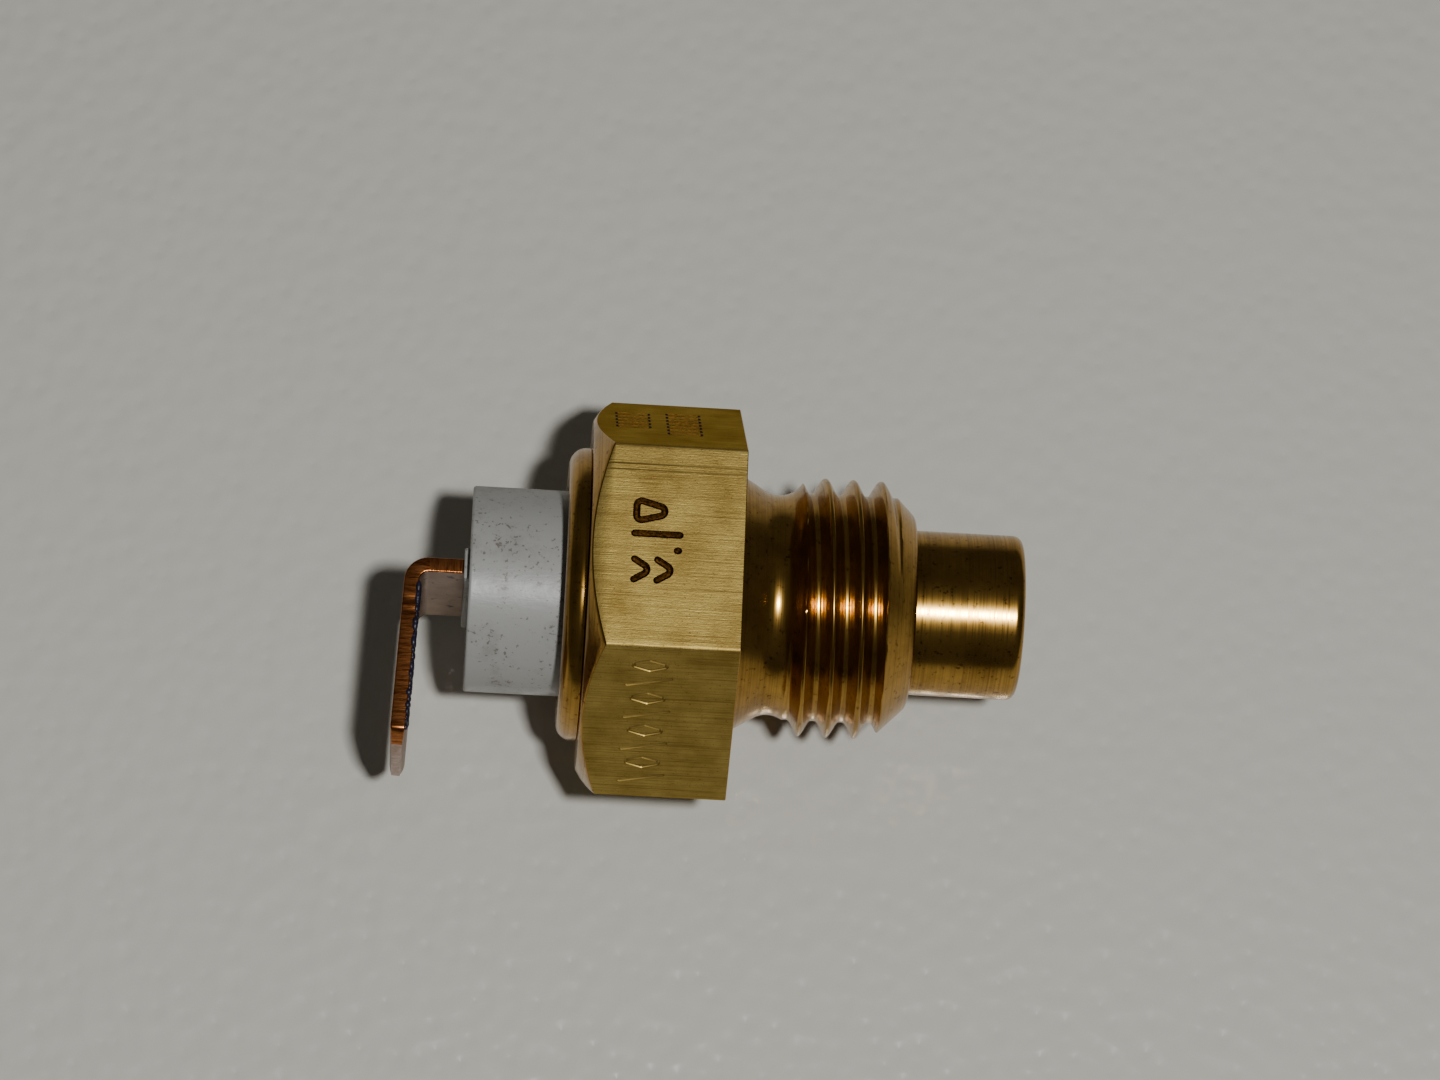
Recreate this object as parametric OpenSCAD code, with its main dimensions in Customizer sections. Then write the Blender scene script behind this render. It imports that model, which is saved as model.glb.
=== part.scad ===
// Single-blade temperature sender: a brass screw-in body with a closed probe nose,
// a plastic insulator held in by a rolled rim, and a spring-loaded sensing stack.
// Millimetres. The axis runs along X, the origin is where it meets the sealing face,
// the nose points to +X, and the body lies on the hexagon's lower flat, facing -Z.

/* [Hexagon] */
// Width across the hexagon's flats
hex_af = 19; // [17:0.5:24]
// Length of the hexagon along the axis
hex_len = 8; // [6:0.1:12]
// Slope of the rear chamfer, from the face it cuts
hex_chamfer_angle = 32; // [20:1:40]
// Straight length left on each corner, ahead of the rear chamfer
hex_corner_len = 6.98; // [5:0.02:7.4]

/* [Thread and relief groove] */
// Radius over the thread crests, for an M14 thread
thread_r = 6.93; // [6.4:0.01:8.5]
// Thread pitch
thread_pitch = 1.5; // [1:0.25:1.75]
// Length of the shank from the sealing face to its end face
shank_len = 9.46; // [8:0.02:16]
// Axial length of the 45 degree lead-in chamfer
lead_in = 1.81; // [0.6:0.01:2.2]
// Distance of the first crest from the sealing face
first_crest = 3.6; // [3.3:0.05:5]
// Radius of the arc that forms the relief groove
relief_arc_r = 1.45; // [1:0.05:1.6]
// Distance of the groove's lowest point from the sealing face
relief_x = 2.12; // [1.6:0.02:2.2]
// Radius at the groove's lowest point
relief_floor_r = 5.89; // [5.2:0.01:6.2]
// Slope of the groove's wall beside the sealing face
relief_wall_angle = 31; // [25:1:45]

/* [Probe nose] */
// Outer radius of the probe nose
nose_r = 4.41; // [3.6:0.01:5.4]
// Length of the nose beyond the shank
nose_len = 5.84; // [4:0.02:12]
// Wall of the nose around the bore
nose_wall = 1.11; // [0.7:0.01:1.3]
// Thickness of the nose's closed end
nose_floor = 1.2; // [0.6:0.1:2]
// Corner radius at the nose's end
nose_corner_r = 0.5; // [0.2:0.05:0.9]

/* [Rolled rim] */
// How far the rim stands behind the hexagon
rim_len = 1.16; // [0.8:0.02:1.3]
// Wall of the rim around the insulator's flange
rim_wall = 1.15; // [0.8:0.05:1.4]
// Radius of the rim's rolled outer edge
rim_roll_r = 0.9; // [0.7:0.05:1.1]
// Thickness of the rim's inturned lip
rim_lip = 1; // [0.6:0.05:1.1]

/* [Insulator] */
// Radius of the insulator's rear barrel
barrel_r = 5.5; // [4.8:0.05:6.6]
// Length of barrel that stands out of the rim
barrel_len = 5.04; // [3.5:0.02:9]
// How far the flange reaches outward past the barrel
flange_reach = 1.2; // [1.1:0.05:1.8]
// Thickness of the flange
flange_t = 1.85; // [1:0.05:3]
// How far the spigot enters the bore, measured from the pocket floor
spigot_len = 2.1; // [1:0.1:4]
// Height of the raised lip around the blade
blade_lip_h = 0.28; // [0.1:0.02:0.6]
// Margin of the raised lip beyond the blade's edges, along its width
blade_lip_end = 0.6; // [0.3:0.05:1]
// Margin of the raised lip beyond the blade's faces
blade_lip_side = 0.45; // [0.2:0.05:0.8]

/* [Seal and crimp washer] */
// Thickness of the seal ring's section, as fitted
ring_section = 1.4; // [1:0.1:1.8]
// Thickness of the washer under the rolled lip
washer_t = 0.3; // [0.2:0.05:0.8]

/* [Blade terminal] */
// Width of the tab
blade_w = 8; // [6.3:0.1:9]
// Thickness of the tab
blade_t = 0.8; // [0.5:0.05:1]
// How far the tab's back stands behind the insulator
blade_out = 3.4; // [2.6:0.05:6]
// Reach of the bent leg, from the axis to its tip
blade_reach = 10.05; // [7:0.05:16]
// Outer radius of the bend
blade_bend_r = 1.3; // [1.1:0.05:1.5]
// Backward lean of the bent leg
blade_lean = 2; // [0:0.5:5]
// Width of each corner cut at the tip
tip_cut_w = 1.95; // [0.5:0.05:2.5]
// Length of the corner cuts, along the leg
tip_cut_len = 0.85; // [0.4:0.05:2]
// Length of the thinned tip
tip_bevel_len = 1.1; // [0.5:0.1:2]
// Thickness left at the tip
tip_t = 0.45; // [0.2:0.05:0.5]
// Full-width length of the blade inside the insulator
blade_root = 3.2; // [2:0.1:4]
// Width of the stem that runs on through the insulator
stem_w = 3.2; // [2:0.1:3.6]
// Width of the stem's end where it passes through the spring seat
stem_end_w = 1.6; // [1.2:0.1:2]
// Thickness of the riveted head on the stem's end
head_t = 0.5; // [0.3:0.05:0.8]

/* [Contact stack] */
// Wall of the insulating sleeve in the bore
sleeve_wall = 0.3; // [0.15:0.05:0.5]
// Thickness of the spring seat
seat_t = 0.8; // [0.5:0.1:1.5]
// Thickness of the thermistor pill
pill_t = 1.5; // [1:0.1:2.5]
// Thickness of the lower contact disc
disc_t = 0.2; // [0.1:0.05:0.5]
// Thickness of the contact cap's flange
cap_flange_t = 1; // [0.5:0.1:1.5]
// Length of the contact cap's hub, which centres the spring
cap_hub_len = 1.8; // [1:0.1:3]
// Height of thermal paste up the side of the pill
paste_rise = 1; // [0.4:0.1:1.4]

/* [Spring] */
// Wire diameter of the contact spring
wire_d = 0.5; // [0.3:0.05:0.6]
// Active turns between the two closed end turns
active_turns = 6; // [4:1:8]

/* [Clearances] */
// Radial gap between the pill or the cap and the sleeve
guide_gap = 0.35; // [0.2:0.05:0.6]
// Radial gap between the spring and the sleeve
spring_gap = 0.8; // [0.3:0.05:0.9]
// Radial gap between the spring and what stands inside it
spring_core_gap = 0.2; // [0.1:0.05:0.3]
// Gap around the insulator's barrel where it passes through the rim
barrel_gap = 0.15; // [0.05:0.05:0.4]
// Gap between neighbouring pieces that are fitted by hand
fit_gap = 0.05; // [0.03:0.01:0.1]
// Gap between pieces that touch along a curved or moulded surface
touch_gap = 0.02; // [0.01:0.01:0.05]

/* [Hidden] */
$fn = 96;

// Finishes
brass = "#b08d3c";
plated_brass = "#c9a878";
pale_grey = "#a9a9a4";
copper = "#b06a30";
steel = "#9a9a98";
black_rubber = "#1d1d1d";
bronze = "#a9743a";
clear_film = "#d8c9a0";
ceramic_grey = "#4a4a50";
paste_white = "#e4e4de";

// A margin that carries each cut past the surface it opens
past = 1;

// Rear end, from the rim's back face forward to the floor of the flange pocket
rim_back_x = -hex_len - rim_len;
lip_front_x = rim_back_x + rim_lip;
washer_front_x = lip_front_x + washer_t;
flange_front_x = washer_front_x + flange_t;
pocket_floor_x = flange_front_x + ring_section;
pocket_r = barrel_r + flange_reach;
rim_r = pocket_r + rim_wall;
neck_r = pocket_r - ring_section;
barrel_back_x = rim_back_x - barrel_len;

// Thread depth, from the crest's flat to the root's flat
thread_depth = 0.567 * thread_pitch;

// Front end
nose_end_x = shank_len + nose_len;
bore_end_x = nose_end_x - nose_floor;
bore_r = nose_r - nose_wall;

// Stack in the bore, from the closed end backward
disc_back_x = bore_end_x - disc_t;
pill_back_x = disc_back_x - pill_t;
cap_front_x = pill_back_x - touch_gap;
cap_back_x = cap_front_x - cap_flange_t;
spigot_end_x = pocket_floor_x + spigot_len;
seat_front_x = spigot_end_x + seat_t;
spigot_r = bore_r - fit_gap;
sleeve_r = bore_r - fit_gap;
sleeve_in_r = sleeve_r - sleeve_wall;
seat_r = sleeve_in_r - fit_gap;
guided_r = sleeve_in_r - guide_gap;
disc_r = (bore_r + guided_r) / 2;
wire_r = wire_d / 2;
coil_r = sleeve_in_r - spring_gap - wire_r;
core_r = coil_r - wire_r - spring_core_gap;

// Spring: one closed turn at each end, active turns between them
wire_sides = 8;
rings_per_turn = 16;
closed_pitch = wire_d + touch_gap;
coil_start_x = seat_front_x + wire_r + touch_gap;
coil_end_x = cap_back_x - wire_r - touch_gap;
coil_turns = active_turns + 2;
coil_rings = coil_turns * rings_per_turn;
active_pitch = (coil_end_x - coil_start_x - 2 * closed_pitch) / active_turns;

// Blade
blade_back_x = barrel_back_x - blade_out;
bend_x = blade_back_x + blade_bend_r;
bend_y = blade_t / 2 - blade_bend_r;
leg_len = blade_reach + bend_y;
stem_start_x = barrel_back_x + blade_root;

// Turns a profile about the X axis; its first coordinate is the radius, its second X.
module turned() {
    rotate([0, 90, 0]) rotate_extrude() children();
}

// A band of the profile from radius r0 to r1 and from x0 to x1.
module band(r0, r1, x0, x1) {
    translate([r0, x0]) square([r1 - r0, x1 - x0]);
}

// Hexagon with flats on top and below, and its rear corners chamfered to a cone.
module hexagon() {
    corner_r = hex_af / 2 / cos(30);
    chamfer_len = hex_len - hex_corner_len;
    back_r = corner_r - chamfer_len / tan(hex_chamfer_angle);
    intersection() {
        translate([-hex_len, 0, 0]) rotate([0, 90, 0]) rotate(30) cylinder(r = corner_r, h = hex_len, $fn = 6);
        turned() polygon([
            [0, -hex_len],
            [back_r, -hex_len],
            [corner_r, -hex_corner_len],
            [corner_r + past, -hex_corner_len],
            [corner_r + past, past],
            [0, past]
        ]);
    }
}

// Half outline of the plain shank, with its lead-in chamfer.
module shank_outline() {
    polygon([
        [0, -past],
        [thread_r, -past],
        [thread_r, shank_len - lead_in],
        [thread_r - lead_in, shank_len],
        [0, shank_len]
    ]);
}

// Relief groove: an arc whose wall runs out straight through the sealing face.
module relief_groove() {
    arc_centre_r = relief_floor_r + relief_arc_r;
    tangent_x = relief_x - relief_arc_r * sin(relief_wall_angle);
    tangent_r = arc_centre_r - relief_arc_r * cos(relief_wall_angle);
    wall_end_r = tangent_r + (tangent_x + past) * tan(relief_wall_angle);
    outside_r = thread_r + 2 * past;
    translate([arc_centre_r, relief_x]) circle(r = relief_arc_r);
    polygon([
        [tangent_r, tangent_x],
        [wall_end_r, -past],
        [outside_r, -past],
        [outside_r, relief_x],
        [arc_centre_r, relief_x]
    ]);
}

// Thread grooves as rings at the true pitch, depth and 60 degree flank angle.
module thread_grooves() {
    top_half = (thread_pitch - thread_pitch / 8) / 2;
    root_half = top_half - thread_depth * tan(30);
    groove_count = floor((shank_len - lead_in - first_crest) / thread_pitch + 0.5);
    for (i = [0 : groove_count - 1])
        translate([thread_r, first_crest + (i + 0.5) * thread_pitch])
            polygon([
                [0, -top_half],
                [-thread_depth, -root_half],
                [-thread_depth, root_half],
                [0, top_half],
                [past, top_half],
                [past, -top_half]
            ]);
}

// Probe nose with a rounded end.
module nose_outline() {
    band(0, nose_r, shank_len - past, nose_end_x - nose_corner_r);
    band(0, nose_r - nose_corner_r, shank_len - past, nose_end_x);
    translate([nose_r - nose_corner_r, nose_end_x - nose_corner_r]) circle(r = nose_corner_r);
}

// Rolled rim: a wall whose outer rear edge is rolled over the insulator.
module rim_outline() {
    roll_centre_x = rim_back_x + rim_roll_r;
    intersection() {
        union() {
            band(0, rim_r - rim_roll_r, rim_back_x, past - hex_len);
            band(0, rim_r, roll_centre_x, past - hex_len);
            translate([rim_r - rim_roll_r, roll_centre_x]) circle(r = rim_roll_r);
        }
        band(0, rim_r, rim_back_x, past - hex_len);
    }
}

// Everything hollow: the bore, the flange pocket and the opening in the rolled lip.
module hollow_outline() {
    band(0, bore_r, pocket_floor_x - past, bore_end_x);
    band(0, pocket_r, lip_front_x, pocket_floor_x);
    band(0, barrel_r + barrel_gap, rim_back_x - past, lip_front_x + past);
}

// Turned brass body: hexagon, threaded shank, closed probe nose and rolled rim.
module sensor_body() {
    color(brass)
        difference() {
            union() {
                hexagon();
                turned() difference() {
                    shank_outline();
                    relief_groove();
                    thread_grooves();
                }
                turned() nose_outline();
                turned() rim_outline();
            }
            turned() hollow_outline();
        }
}

// Flat blank of the blade: leg, tapered tip, bend and the straight run into the insulator.
module blade_profile() {
    inner_r = blade_bend_r - blade_t;
    bevel = (blade_t - tip_t) / 2;
    swing = 2 * blade_bend_r;
    translate([bend_x, bend_y]) {
        intersection() {
            difference() {
                circle(r = blade_bend_r);
                circle(r = inner_r);
            }
            polygon([
                [0, 0],
                [0, swing],
                [-swing, swing],
                [-swing * cos(blade_lean), swing * sin(blade_lean)]
            ]);
        }
        rotate(-blade_lean)
            polygon([
                [-blade_bend_r, 0],
                [-inner_r, 0],
                [-inner_r, tip_bevel_len - leg_len],
                [-inner_r - bevel, -leg_len],
                [-blade_bend_r + bevel, -leg_len],
                [-blade_bend_r, tip_bevel_len - leg_len]
            ]);
    }
    translate([bend_x, -blade_t / 2]) square([stem_start_x - bend_x, blade_t]);
}

// Cuts one corner off the blade's tip.
module tip_corner_cut() {
    translate([bend_x - 2 * blade_bend_r, -blade_reach, blade_w / 2])
        rotate([90, 0, 90])
            linear_extrude(height = 4 * blade_bend_r)
                polygon([
                    [-tip_cut_len, -2 * tip_cut_w],
                    [2 * tip_cut_len, tip_cut_w],
                    [-tip_cut_len, tip_cut_w]
                ]);
}

// Bent tab with the stem that carries it through the insulator, riveted over the spring seat.
module blade_terminal() {
    color(copper) {
        difference() {
            linear_extrude(height = blade_w, center = true) blade_profile();
            tip_corner_cut();
            mirror([0, 0, 1]) tip_corner_cut();
        }
        translate([stem_start_x, -blade_t / 2, -stem_w / 2])
            cube([spigot_end_x - stem_start_x, blade_t, stem_w]);
        translate([spigot_end_x, -blade_t / 2, -stem_end_w / 2])
            cube([seat_t, blade_t, stem_end_w]);
        turned() band(0, core_r, seat_front_x, seat_front_x + head_t);
    }
}

// Insulator: barrel, flange and spigot, moulded around the blade.
module insulator() {
    lip_len = blade_w + 2 * blade_lip_end;
    lip_w = blade_t + 2 * blade_lip_side;
    slot_t = blade_t + 2 * touch_gap;
    color(pale_grey)
        difference() {
            union() {
                turned() {
                    band(0, barrel_r, barrel_back_x, flange_front_x);
                    band(0, pocket_r - fit_gap, washer_front_x, flange_front_x);
                    band(0, neck_r, washer_front_x, pocket_floor_x);
                    band(0, spigot_r, washer_front_x, spigot_end_x);
                }
                intersection() {
                    translate([barrel_back_x, 0, 0]) cube([2 * blade_lip_h, lip_w, lip_len], center = true);
                    turned() band(0, barrel_r, barrel_back_x - blade_lip_h, barrel_back_x + past);
                }
            }
            translate([barrel_back_x - past, -slot_t / 2, -blade_w / 2 - touch_gap])
                cube([past + blade_root + touch_gap, slot_t, blade_w + 2 * touch_gap]);
            translate([barrel_back_x, -slot_t / 2, -stem_w / 2 - touch_gap])
                cube([spigot_end_x - barrel_back_x + past, slot_t, stem_w + 2 * touch_gap]);
        }
}

// Washer that spreads the rolled lip's load over the plastic flange.
module crimp_washer() {
    color(steel)
        turned() band(barrel_r + barrel_gap, pocket_r - fit_gap, lip_front_x, washer_front_x);
}

// Seal ring between the neck and the pocket wall.
module seal_ring() {
    color(black_rubber)
        turned() translate([neck_r + ring_section / 2, flange_front_x + ring_section / 2])
            circle(r = ring_section / 2 - touch_gap);
}

// Spring seat riveted onto the blade's stem.
module spring_seat() {
    slot_t = blade_t + 2 * touch_gap;
    slot_w = stem_end_w + 2 * touch_gap;
    color(plated_brass)
        difference() {
            turned() band(0, seat_r, spigot_end_x, seat_front_x);
            translate([spigot_end_x - past, -slot_t / 2, -slot_w / 2])
                cube([seat_t + 2 * past, slot_t, slot_w]);
        }
}

// Place along the axis of the spring's wire after a number of turns.
function coil_x(turns) =
    turns < 1 ? coil_start_x + closed_pitch * turns
    : turns < coil_turns - 1 ? coil_start_x + closed_pitch + active_pitch * (turns - 1)
    : coil_end_x - closed_pitch * (coil_turns - turns);

// Points of the wire's section at one ring of the helix.
function wire_ring(i) =
    let (angle = 360 * i / rings_per_turn, x = coil_x(i / rings_per_turn))
    [
        for (j = [0 : wire_sides - 1])
            let (side = 360 * j / wire_sides, r = coil_r + wire_r * cos(side))
            [x + wire_r * sin(side), r * cos(angle), r * sin(angle)]
    ];

// Compression spring that presses the cap onto the pill.
module contact_spring() {
    points = [for (i = [0 : coil_rings]) each wire_ring(i)];
    last = coil_rings * wire_sides;
    skin = [
        for (i = [0 : coil_rings - 1], j = [0 : wire_sides - 1])
            let (k = (j + 1) % wire_sides, a = i * wire_sides, b = a + wire_sides)
            [a + j, b + j, b + k, a + k]
    ];
    start_cap = [[for (j = [0 : wire_sides - 1]) j]];
    end_cap = [[for (j = [wire_sides - 1 : -1 : 0]) last + j]];
    color(bronze) polyhedron(points = points, faces = concat(skin, start_cap, end_cap));
}

// Sliding cap between the spring and the pill.
module contact_cap() {
    hub_back_x = cap_back_x - cap_hub_len;
    hub_chamfer = spring_core_gap;
    color(plated_brass)
        turned() {
            band(0, guided_r, cap_back_x, cap_front_x);
            polygon([
                [0, hub_back_x],
                [core_r - hub_chamfer, hub_back_x],
                [core_r, hub_back_x + hub_chamfer],
                [core_r, cap_back_x],
                [0, cap_back_x]
            ]);
        }
}

// Sleeve that keeps the spring and the cap away from the grounded bore.
module insulating_sleeve() {
    color(clear_film)
        turned() band(sleeve_in_r, sleeve_r, spigot_end_x, pill_back_x + pill_t - paste_rise);
}

// Sensing pill.
module thermistor_pill() {
    color(ceramic_grey)
        turned() band(0, guided_r, pill_back_x, disc_back_x);
}

// Soft disc that grounds the pill on the floor of the bore.
module contact_disc() {
    color(copper)
        turned() band(0, disc_r, disc_back_x, bore_end_x);
}

// Heat-conducting paste around the pill and the disc.
module thermal_paste() {
    color(paste_white)
        turned() difference() {
            band(guided_r, bore_r, disc_back_x - paste_rise, bore_end_x);
            band(0, disc_r, disc_back_x, bore_end_x + past);
        }
}

sensor_body();
insulator();
blade_terminal();
crimp_washer();
seal_ring();
spring_seat();
contact_spring();
contact_cap();
insulating_sleeve();
thermistor_pill();
contact_disc();
thermal_paste();
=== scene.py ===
"""Looks for a screw-in brass temperature sender with one bent blade terminal.

The body's axis runs along X, with the sealing face at x = 0, the probe nose at +X and +Z up.
Every length is in metres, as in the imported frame. main() registers the operators and runs them.
"""

import math
import random

import bmesh
import bpy
from mathutils import Matrix, Vector


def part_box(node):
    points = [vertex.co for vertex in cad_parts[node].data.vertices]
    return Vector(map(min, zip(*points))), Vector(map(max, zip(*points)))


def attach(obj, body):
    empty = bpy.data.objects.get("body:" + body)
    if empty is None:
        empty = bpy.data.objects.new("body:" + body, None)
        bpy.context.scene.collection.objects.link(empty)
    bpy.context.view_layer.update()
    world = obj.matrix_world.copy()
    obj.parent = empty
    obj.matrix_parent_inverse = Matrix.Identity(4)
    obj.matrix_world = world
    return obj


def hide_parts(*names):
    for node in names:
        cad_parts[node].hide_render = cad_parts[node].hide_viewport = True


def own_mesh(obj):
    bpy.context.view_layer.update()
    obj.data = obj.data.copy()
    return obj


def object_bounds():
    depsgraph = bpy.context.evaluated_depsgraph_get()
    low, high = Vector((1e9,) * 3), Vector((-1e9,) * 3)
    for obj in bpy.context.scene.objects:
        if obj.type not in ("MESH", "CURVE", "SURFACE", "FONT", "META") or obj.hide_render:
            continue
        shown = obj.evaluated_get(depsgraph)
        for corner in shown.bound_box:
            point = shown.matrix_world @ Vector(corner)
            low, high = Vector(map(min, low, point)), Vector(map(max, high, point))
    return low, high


bl_info = {
    "name": "Temperature Sender Looks",
    "version": (1, 0, 0),
    "blender": (4, 5, 0),
    "location": "3D View > Sidebar > Sender",
    "description": "Builds the detailed pieces, finishes and stage of a screw-in temperature sender",
    "category": "Mesh",
}

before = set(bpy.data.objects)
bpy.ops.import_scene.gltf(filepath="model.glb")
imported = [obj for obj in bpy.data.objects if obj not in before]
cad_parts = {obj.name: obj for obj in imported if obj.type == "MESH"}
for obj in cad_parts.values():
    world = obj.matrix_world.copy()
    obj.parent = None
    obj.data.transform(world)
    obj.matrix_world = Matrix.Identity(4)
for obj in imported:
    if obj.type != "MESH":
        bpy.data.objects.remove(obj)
cad_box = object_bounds()

MM = 0.001
FULL_TURN = 2 * math.pi

BODY_BACK, BODY_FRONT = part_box("sensor_body")
PLASTIC_BACK, PLASTIC_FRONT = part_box("insulator")
BLADE_BACK, BLADE_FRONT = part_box("blade_terminal")
COIL_BACK, COIL_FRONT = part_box("contact_spring")


# Settings


def linear(code):
    """Turns an sRGB hex colour into linear red, green and blue."""
    parts = [int(code[i:i + 2], 16) / 255 for i in (1, 3, 5)]
    return [p / 12.92 if p <= 0.04045 else ((p + 0.055) / 1.055) ** 2.4 for p in parts]


def length(name, description, default):
    """A length in metres."""
    return bpy.props.FloatProperty(
        name=name, description=description, default=default, precision=5, subtype="DISTANCE", unit="LENGTH"
    )


def angle(name, description, degrees):
    """An angle, given in degrees and kept in radians."""
    return bpy.props.FloatProperty(
        name=name, description=description, default=math.radians(degrees), subtype="ANGLE", unit="ROTATION"
    )


def count(name, description, default):
    """A whole number of turns or steps."""
    return bpy.props.IntProperty(name=name, description=description, default=default, min=1)


def colour(name, description, code):
    """A colour, given as an sRGB hex value."""
    return bpy.props.FloatVectorProperty(
        name=name, description=description, default=linear(code), size=3, min=0, max=1, subtype="COLOR"
    )


class SenderBodySizes(bpy.types.PropertyGroup):
    """Sizes of the brass body."""

    hex_af: length("Across flats", "Width across the hexagon's flats", 2 * BODY_FRONT.z)
    hex_len: length("Hexagon length", "Length of the hexagon along the axis", 8 * MM)
    hex_corner: length("Corner radius", "Radius that drawing leaves on the hexagon's corners", 0.2 * MM)
    chamfer_r: length("Chamfer start", "Radius on the rear face where the chamfer starts", 9.337 * MM)
    chamfer_slope: angle("Chamfer slope", "Slope of the rear chamfer from the face it cuts", 32)
    edge: length("Edge break", "Bevel on the turned edges", 0.04 * MM)
    thread_r: length("Crest radius", "Radius over the thread crests", 6.93 * MM)
    pitch: length("Pitch", "Thread pitch", 1.5 * MM)
    depth: length("Thread depth", "Depth of the thread from crest to root", 0.85 * MM)
    crest_x: length("Crest place", "Where a crest crosses the +Y side", 4.5 * MM)
    shank_len: length("Shank length", "From the sealing face to the shank's end face", 9.46 * MM)
    lead_in: length("Lead-in", "Length of the 45 degree lead-in chamfer", 1.81 * MM)
    lead_in_round: length("Lead-in corner", "Radius between the lead-in and the end face", 0.5 * MM)
    relief_x: length("Relief place", "Lowest point of the relief groove", 2.12 * MM)
    relief_floor_r: length("Relief floor", "Radius at the relief groove's lowest point", 5.89 * MM)
    relief_r: length("Relief arc", "Radius of the relief groove's arc", 1.45 * MM)
    relief_slope: angle("Relief slope", "Slope of the groove's wall beside the sealing face", 31)
    nose_r: length("Nose radius", "Radius of the probe nose", 4.41 * MM)
    nose_corner: length("Nose corner", "Corner radius at the nose's end", 0.5 * MM)
    bore_r: length("Bore radius", "Radius of the bore in the nose", 3.3 * MM)
    bore_end_x: length("Bore end", "Floor of the bore", 14.1 * MM)
    pocket_r: length("Pocket radius", "Radius of the pocket for the insulator's flange", 6.7 * MM)
    pocket_x: length("Pocket floor", "Floor of the flange pocket", -4.61 * MM)
    lip_t: length("Lip thickness", "Thickness of the rolled lip", 1 * MM)
    lip_r: length("Lip opening", "Radius of the opening in the rolled lip", 5.65 * MM)
    roll_r: length("Roll radius", "Radius of the rim's rolled edge", 0.9 * MM)
    roll_centre_r: length("Roll place", "Radius at which the roll's arc is centred", 6.95 * MM)
    rim_groove: length("Rim groove", "Depth of the groove between the rim and the hexagon", 0.07 * MM)


class SenderMarkSizes(bpy.types.PropertyGroup):
    """Sizes of the plain marks pressed into the flats."""

    stroke: length("Bold stroke", "Width of the bold strokes on the top flat", 0.4 * MM)
    stroke_depth: length("Bold depth", "Depth of the bold strokes", 0.17 * MM)
    thin: length("Thin stroke", "Width of the thin strokes on the front flat", 0.2 * MM)
    thin_depth: length("Thin depth", "Depth of the thin strokes", 0.1 * MM)
    hatch: length("Hatch stroke", "Width of the hatch lines on the rear flat", 0.15 * MM)
    hatch_depth: length("Hatch depth", "Depth of the hatch lines", 0.06 * MM)
    score: length("Score", "Width of the lines that the die scores along the top flat", 0.11 * MM)
    score_depth: length("Score depth", "Depth of the scored lines", 0.02 * MM)


class SenderPlasticSizes(bpy.types.PropertyGroup):
    """Sizes of the insulator."""

    barrel_r: length("Barrel radius", "Radius of the rear barrel", 5.5 * MM)
    barrel_edge: length("Barrel edge", "Radius on the barrel's rear edge", 0.16 * MM)
    lip_h: length("Lip height", "Height of the raised lip around the blade", 0.28 * MM)
    lip_len: length("Lip length", "Length of the raised lip", 9.2 * MM)
    lip_w: length("Lip width", "Width of the raised lip", 1.7 * MM)
    flange_x: length("Flange back", "Rear face of the flange", -7.86 * MM)
    flange_front_x: length("Flange front", "Front face of the flange", -6.01 * MM)
    neck_r: length("Neck radius", "Radius of the neck inside the seal ring", 5.3 * MM)
    neck_end_x: length("Neck end", "Where the neck sits on the pocket's floor", -4.61 * MM)
    spigot_r: length("Spigot radius", "Radius of the spigot in the bore", 3.25 * MM)
    gap: length("Slot gap", "Gap between the blade and its slot", 0.02 * MM)


class SenderBladeSizes(bpy.types.PropertyGroup):
    """Sizes of the blade terminal."""

    back_x: length("Back", "Back of the bend", -17.6 * MM)
    thickness: length("Thickness", "Thickness of the strip", 0.8 * MM)
    width: length("Width", "Width of the tab", 2 * BLADE_FRONT.z)
    bend_r: length("Bend radius", "Outer radius of the bend", 1.3 * MM)
    lean: angle("Lean", "Backward lean of the bent leg", 2)
    edge: length("Edge radius", "Radius that shearing leaves on the strip's edges", 0.09 * MM)
    tip_cut_w: length("Tip cut width", "Width of each corner cut at the tip", 1.95 * MM)
    tip_cut_len: length("Tip cut length", "Length of the corner cuts, along the leg", 0.85 * MM)
    tip_len: length("Tip length", "Length of the thinned tip", 1.1 * MM)
    tip_t: length("Tip thickness", "Thickness left at the tip", 0.45 * MM)
    # The pale tip colour is a painted highlight for the light that the bevelled tip reflects; this is how far
    # up it reaches.
    tip_highlight_reach: length("Dip", "How far the tin reaches up from the tip", 0.36 * MM)
    root_x: length("Root", "Where the full width ends inside the insulator", -11 * MM)
    stem_w: length("Stem width", "Width of the stem through the insulator", 3.2 * MM)
    stem_end_w: length("Stem end width", "Width of the stem in the spring seat", 1.6 * MM)
    head_r: length("Rivet radius", "Radius of the riveted head", 1.45 * MM)
    head_t: length("Rivet thickness", "Thickness of the riveted head", 0.5 * MM)
    dent: length("Edge dent", "Depth of the dents that bending leaves in the strip's edges", 0.03 * MM)
    # Small dark blue-black lumps on the leg's inner face, along its upper edge.
    dark_lump_count: count("Dark lump count", "Lumps of dried varnish on the leg's inner face", 130)
    dark_lump_seed: count("Dark lump seed", "Which scatter of the lumps is drawn", 4)
    dark_lump_r: length("Dark lump size", "Radius of the largest lump", 0.26 * MM)
    dark_lump_reach: length("Dark lump reach", "How far the lumps reach in from the leg's upper edge", 0.6 * MM)


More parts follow.
